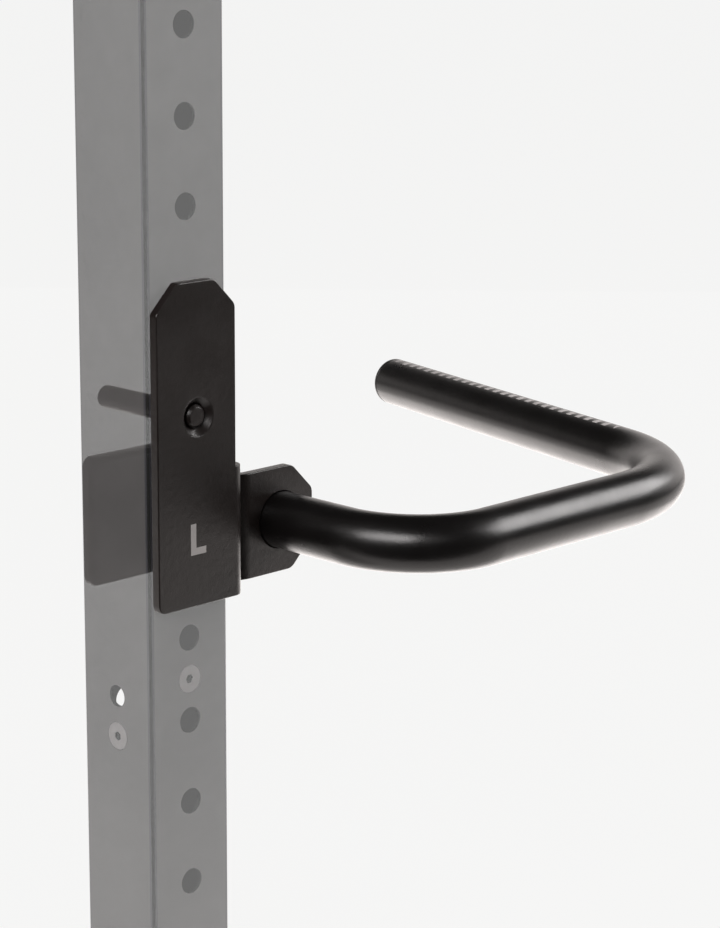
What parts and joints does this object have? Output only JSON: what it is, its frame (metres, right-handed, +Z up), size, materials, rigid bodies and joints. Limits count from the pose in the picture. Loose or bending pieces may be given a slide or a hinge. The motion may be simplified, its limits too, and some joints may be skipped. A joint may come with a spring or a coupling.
{
  "type": "dip handle on rack upright",
  "caption": "Left-hand dip handle of bent round tube on a saddle plate, hooked and pinned on a square perforated gym rack upright.",
  "frame": {"origin": "middle of the upright's bottom face", "axes": "+Z up along the upright, +X towards the side that the handle reaches to, -Y to the upright's front, where the saddle's plate and the pin's head are"},
  "size_m": [0.4761, 0.3768, 0.65],
  "materials": {
    "upright_paint": "light grey powder coat, satin",
    "plate_powder_coat": "fine-textured black powder coat, matt",
    "tube_powder_coat": "smooth black powder coat, satin",
    "weld": "black powder coat over a weld bead",
    "zinc_steel": "zinc-plated steel",
    "cap_plastic": "black moulded plastic",
    "liner_plastic": "black wear liner"
  },
  "bodies": {
    "upright": {"upright_tube": "upright_paint", "bottom_cap": "cap_plastic", "top_cap": "cap_plastic", "front_screw": "zinc_steel", "front_blind_nut": "zinc_steel", "side_screw": "zinc_steel", "side_blind_nut": "zinc_steel"},
    "handle": {"saddle_plate": "plate_powder_coat", "locating_pin": "plate_powder_coat", "pin_weld": "weld", "front_liner": "liner_plastic", "rear_liner": "liner_plastic", "tube_bracket": "plate_powder_coat", "leg_top_weld": "weld", "leg_bottom_weld": "weld", "leg_end_weld": "weld", "handle_tube": "tube_powder_coat", "tube_weld": "weld", "handle_end_cap": "cap_plastic"}
  },
  "joints": [
    {"name": "handle_swing", "type": "hinge", "parent": "upright", "child": "handle", "pos_m": [0, 0, 0.3568], "axis": [0, -1, 0], "range_deg": [0, 90]}
  ]
}
